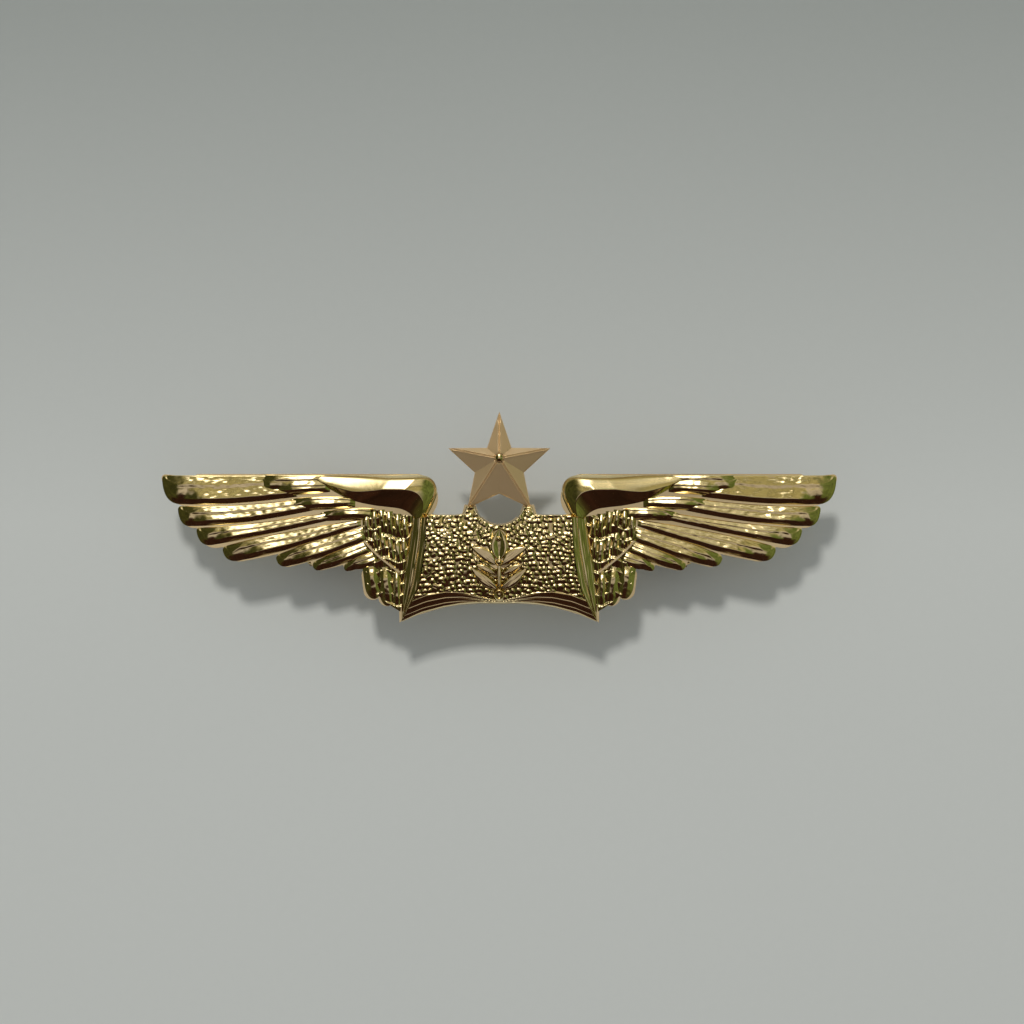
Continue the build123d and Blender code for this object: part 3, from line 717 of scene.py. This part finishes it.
def metal(name, colour, worn, roughness, bump=0.1, shade_in_creases=0.45, metallic=1.0):
    """Plated metal: two tones in soft patches, with shade painted darker into its creases, faint
    scratches and grain.
    """
    material = bpy.data.materials.new(name)
    tree = new_tree(material)
    place = node(tree, "ShaderNodeTexCoord").outputs["Object"]
    patches = node(tree, "ShaderNodeTexNoise", Vector=place, Scale=260.0, Detail=3.0, Roughness=0.55)
    tone = ramp(tree, patches.outputs["Fac"], [(0.35, colour), (0.68, worn)])
    # Painted shade: Pointiness darkens the colour in creases and hollows, standing in for the shade
    # that falls there.
    point = node(tree, "ShaderNodeNewGeometry").outputs["Pointiness"]
    deep = (shade_in_creases, shade_in_creases**1.25, shade_in_creases**1.5)
    painted_crease_shade = ramp(tree, point, [(0.43, deep), (0.495, (1, 1, 1))])
    shade = blend(tree, 1.0, tone, painted_crease_shade, "MULTIPLY")
    stretch = node(tree, "ShaderNodeMapping", Vector=place, Scale=(1.0, 7.0, 1.0), Rotation=(0, 0, 0.5))
    scratch = node(tree, "ShaderNodeTexNoise", Vector=stretch.outputs[0], Scale=1400.0, Detail=4.0)
    fine = node(tree, "ShaderNodeTexNoise", Vector=place, Scale=1100.0, Detail=2.0)
    rough = node(
        tree, "ShaderNodeMapRange", Value=scratch.outputs["Fac"],
        From_Min=0.3, From_Max=0.75, To_Min=roughness * 0.9, To_Max=roughness * 1.15,
    )
    first = node(tree, "ShaderNodeBump", Height=fine.outputs["Fac"], Strength=bump, Distance=0.00006)
    second = node(
        tree, "ShaderNodeBump", Height=scratch.outputs["Fac"], Strength=bump * 0.5,
        Distance=0.00002, Normal=first.outputs[0],
    )
    shader = node(
        tree, "ShaderNodeBsdfPrincipled", Base_Color=shade, Metallic=metallic,
        Roughness=rough.outputs[0], Normal=second.outputs[0],
    )
    node(tree, "ShaderNodeOutputMaterial", Surface=shader.outputs[0])
    return material


def dress(piece, material):
    """Gives a piece its material, in one slot."""
    piece.data.materials.clear()
    piece.data.materials.append(material)


def dress_node(name, material):
    """Gives a CAD node a better material in its own slots."""
    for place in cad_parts[name].material_slots:
        place.material = material


# ---------------------------------------------------------------- build
gold = metal("struck_gold", (0.93, 0.76, 0.43), (0.95, 0.80, 0.49), 0.1)
pebbled_gold = metal("pebbled_gold", (0.92, 0.73, 0.40), (0.95, 0.78, 0.47), 0.1, shade_in_creases=0.12)
star_gold = metal(
    "satin_gold", (0.82, 0.58, 0.32), (0.85, 0.61, 0.35), 0.34, bump=0.01, shade_in_creases=0.3, metallic=0.66
)
solder_grey = metal("solder", (0.80, 0.60, 0.34), (0.70, 0.55, 0.36), 0.22)
clutch_brass = metal("clutch_brass", (0.84, 0.63, 0.28), (0.88, 0.72, 0.40), 0.17)
spring_brass = metal("spring_brass", (0.72, 0.52, 0.24), (0.80, 0.63, 0.35), 0.24)

slab = plate_slab()
dress(slab, gold)
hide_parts("wings_plate")

for wing, mirrored, seed in (("right", False, 3.0), ("left", True, 57.0)):
    flight = Relief()
    for place, corners in enumerate(PRIMARIES):
        feather(flight, corners, 150, 46, FLIGHT_HEIGHTS, FLIGHT_RIBS, seed + place)
    dress(flight.build(f"flight_feathers_{wing}", mirrored), gold)
    cover = Relief()
    for place, corners in enumerate(COVERTS):
        feather(cover, corners, 90, 46, COVERT_HEIGHTS, COVERT_RIBS, seed + 20 + place)
    ground(cover, seed + 28)
    for place, scapular in enumerate(SCAPULARS):
        small_feather(cover, *scapular, seed + 30 + place)
    dress(cover.build(f"covert_feathers_{wing}", mirrored), gold)
    lead = Relief()
    shoulder(lead, seed + 50)
    roll(lead, seed + 60)
    dress(lead.build(f"shoulder_and_roll_{wing}", mirrored), gold)

field = Relief()
plaque(field)
dress(field.build("plaque_field"), pebbled_gold)

twig = Relief()
sprig(twig)
emblem = twig.build("leaf_sprig")
dress(emblem, gold)
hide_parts("centre_emblem")

star = star_piece()
dress(star, star_gold)
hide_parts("star")
dress(star_bead(), gold)

for side in ("left", "right"):
    dress_node(f"star_solder_{side}", solder_grey)
    dress_node(f"post_{side}", gold)
    dress_node(f"clutch_cup_{side}", clutch_brass)
    dress_node(f"clutch_base_{side}", spring_brass)
    for place in ("upper", "lower"):
        dress_node(f"clutch_wing_{place}_{side}", spring_brass)


# ---------------------------------------------------------------- floor, light and camera
TARGET = Vector((1.5, 0.5, 8.0)) * MM
LIGHT_WAY = Vector((-1.1, 4.7, 7.5)).normalized()
FLOOR_REACH = 1.2
FLOOR_SHADE_RUN = 0.065  # metres over which shade painted on the floor deepens behind the badge
CAMERA_LENS, CAMERA_ANGLE, CAMERA_AWAY = 68.7, 84, 0.23
LAMP_REACH, LAMP_SIZE, LAMP_POWER = 1.6, 0.2, 11.2


def table_top():
    """Pale laminate with shade painted on it, darker towards the back."""
    mesh = bpy.data.meshes.new("table_top")
    ends = [(-1, -1), (1, -1), (1, 1), (-1, 1)]
    mesh.from_pydata([(x * FLOOR_REACH, y * FLOOR_REACH, 0) for x, y in ends], [], [(0, 1, 2, 3)])
    piece = bpy.data.objects.new("table_top", mesh)
    bpy.context.scene.collection.objects.link(piece)
    material = bpy.data.materials.new("table_laminate")
    tree = new_tree(material)
    place = node(tree, "ShaderNodeTexCoord").outputs["Object"]
    back = node(tree, "ShaderNodeSeparateXYZ", Vector=place).outputs["Y"]
    speckle = node(tree, "ShaderNodeTexNoise", Vector=place, Scale=900.0, Detail=3.0).outputs["Fac"]
    cloud = node(tree, "ShaderNodeTexNoise", Vector=place, Scale=14.0, Detail=2.0).outputs["Fac"]
    # Painted shade: the floor's colour darkens towards the back.
    back_shade = node(
        tree, "ShaderNodeMapRange", Value=back,
        From_Min=0.0, From_Max=FLOOR_SHADE_RUN, To_Min=0.9, To_Max=0.0,
    )
    total = math(tree, "ADD", back_shade.outputs[0], math(tree, "MULTIPLY", speckle, 0.05))
    total = math(tree, "ADD", total, math(tree, "MULTIPLY", cloud, 0.06))
    tone = ramp(tree, total, [(0.0, (0.33, 0.35, 0.34)), (1.0, (0.605, 0.62, 0.605))])
    shader = node(tree, "ShaderNodeBsdfPrincipled", Base_Color=tone, Roughness=0.45)
    node(tree, "ShaderNodeOutputMaterial", Surface=shader.outputs[0])
    mesh.materials.append(material)


def lamp(name, way, reach, size, power, colour):
    """Square soft light aimed at the badge."""
    data = bpy.data.lights.new(name, "AREA")
    data.shape = "SQUARE"
    data.size = size
    data.energy = power
    data.color = colour
    piece = bpy.data.objects.new(name, data)
    piece.visible_glossy = False  # the metal sees the panel of the surroundings instead
    piece.location = TARGET + way * reach
    piece.rotation_euler = way.to_track_quat("Z", "Y").to_euler()
    bpy.context.scene.collection.objects.link(piece)


DARK, CEILING, WALL = (0.026, 0.010, 0.006), (0.43, 0.395, 0.375), (0.335, 0.31, 0.165)
LOW_WALL = (0.215, 0.166, 0.094)
GREEN, OLIVE = (0.115, 0.15, 0.045), (0.045, 0.048, 0.014)
PANEL, GLOW = (4.2, 4.1, 3.9), 0.08
# Where each part of the studio begins and is full, by direction.
GREEN_X, OLIVE_X, SIDES_Y = (0.22, 0.40), (-0.20, -0.36), (-0.60, -0.10)
CEILING_Y, WALL_Y, LOW_WALL_Z = (-0.10, -0.01), (0.18, 0.30), (0.22, 0.02)
PANEL_LEFT, PANEL_RIGHT, GLOW_RIGHT = (-0.27, -0.02), (0.075, 0.025), (0.40, 0.12)
PANEL_LOW, PANEL_HIGH = (0.46, 0.54), (0.98, 0.88)


def surroundings():
    """Studio seen in the metal: pale wall and a light panel behind, dark front, green sides.

    Directions are shares of a unit vector, so x = 0.3 is a reflection 17 degrees to the right.
    """
    world = bpy.data.worlds.new("studio")
    tree = new_tree(world)
    way = node(tree, "ShaderNodeTexCoord").outputs["Generated"]
    part = node(tree, "ShaderNodeSeparateXYZ", Vector=way)
    x, y, z = (part.outputs[axis] for axis in "XYZ")
    colour = blend(tree, ease(tree, y, *CEILING_Y), DARK, CEILING)
    colour = blend(tree, ease(tree, y, *WALL_Y), colour, WALL)
    over = math(tree, "MULTIPLY", ease(tree, z, 0.10, 0.35), ease(tree, y, *SIDES_Y))
    colour = blend(tree, math(tree, "MULTIPLY", ease(tree, x, *GREEN_X), over), colour, GREEN)
    colour = blend(tree, math(tree, "MULTIPLY", ease(tree, x, *OLIVE_X), over), colour, OLIVE)
    colour = blend(tree, ease(tree, z, *LOW_WALL_Z), colour, LOW_WALL)
    clutter = node(tree, "ShaderNodeTexNoise", Vector=way, Scale=7.0, Detail=3.0, Roughness=0.65)
    shade = ramp(tree, clutter.outputs["Fac"], [(0.34, (0.45, 0.45, 0.42)), (0.64, (1.3, 1.3, 1.3))])
    colour = blend(tree, 1.0, colour, shade, "MULTIPLY")
    glow = math(tree, "MULTIPLY", ease(tree, x, *GLOW_RIGHT), GLOW)
    across = math(tree, "MAXIMUM", ease(tree, x, *PANEL_RIGHT), glow)
    across = math(tree, "MULTIPLY", ease(tree, x, *PANEL_LEFT), across)
    along = math(tree, "MULTIPLY", ease(tree, y, *PANEL_LOW), ease(tree, y, *PANEL_HIGH))
    panel = blend(tree, math(tree, "MULTIPLY", across, along), (0, 0, 0), PANEL)
    lit = blend(tree, 1.0, colour, panel, "ADD")
    studio = node(tree, "ShaderNodeBackground", Color=lit, Strength=1.0)
    plain = node(tree, "ShaderNodeBackground", Color=(0.40, 0.415, 0.41, 1), Strength=1.0)
    ray = node(tree, "ShaderNodeLightPath").outputs["Is Glossy Ray"]
    mixed = node(tree, "ShaderNodeMixShader", i0=ray, i1=plain.outputs[0], i2=studio.outputs[0])
    node(tree, "ShaderNodeOutputWorld", Surface=mixed.outputs[0])
    bpy.context.scene.world = world


def camera():
    """Nearly straight down on the badge, a little from below it."""
    data = bpy.data.cameras.new("camera")
    data.lens = CAMERA_LENS
    data.sensor_width = 36
    data.clip_start = 0.01
    piece = bpy.data.objects.new("camera", data)
    tilt = radians(CAMERA_ANGLE)
    way = Vector((0, -cos(tilt), sin(tilt)))
    piece.location = TARGET + way * CAMERA_AWAY
    piece.rotation_euler = way.to_track_quat("Z", "Y").to_euler()
    bpy.context.scene.collection.objects.link(piece)
    bpy.context.scene.camera = piece


table_top()
lamp("key_light", LIGHT_WAY, LAMP_REACH, LAMP_SIZE, LAMP_POWER, (1.0, 0.98, 0.93))
surroundings()
camera()
bpy.context.scene.view_settings.view_transform = "Standard"
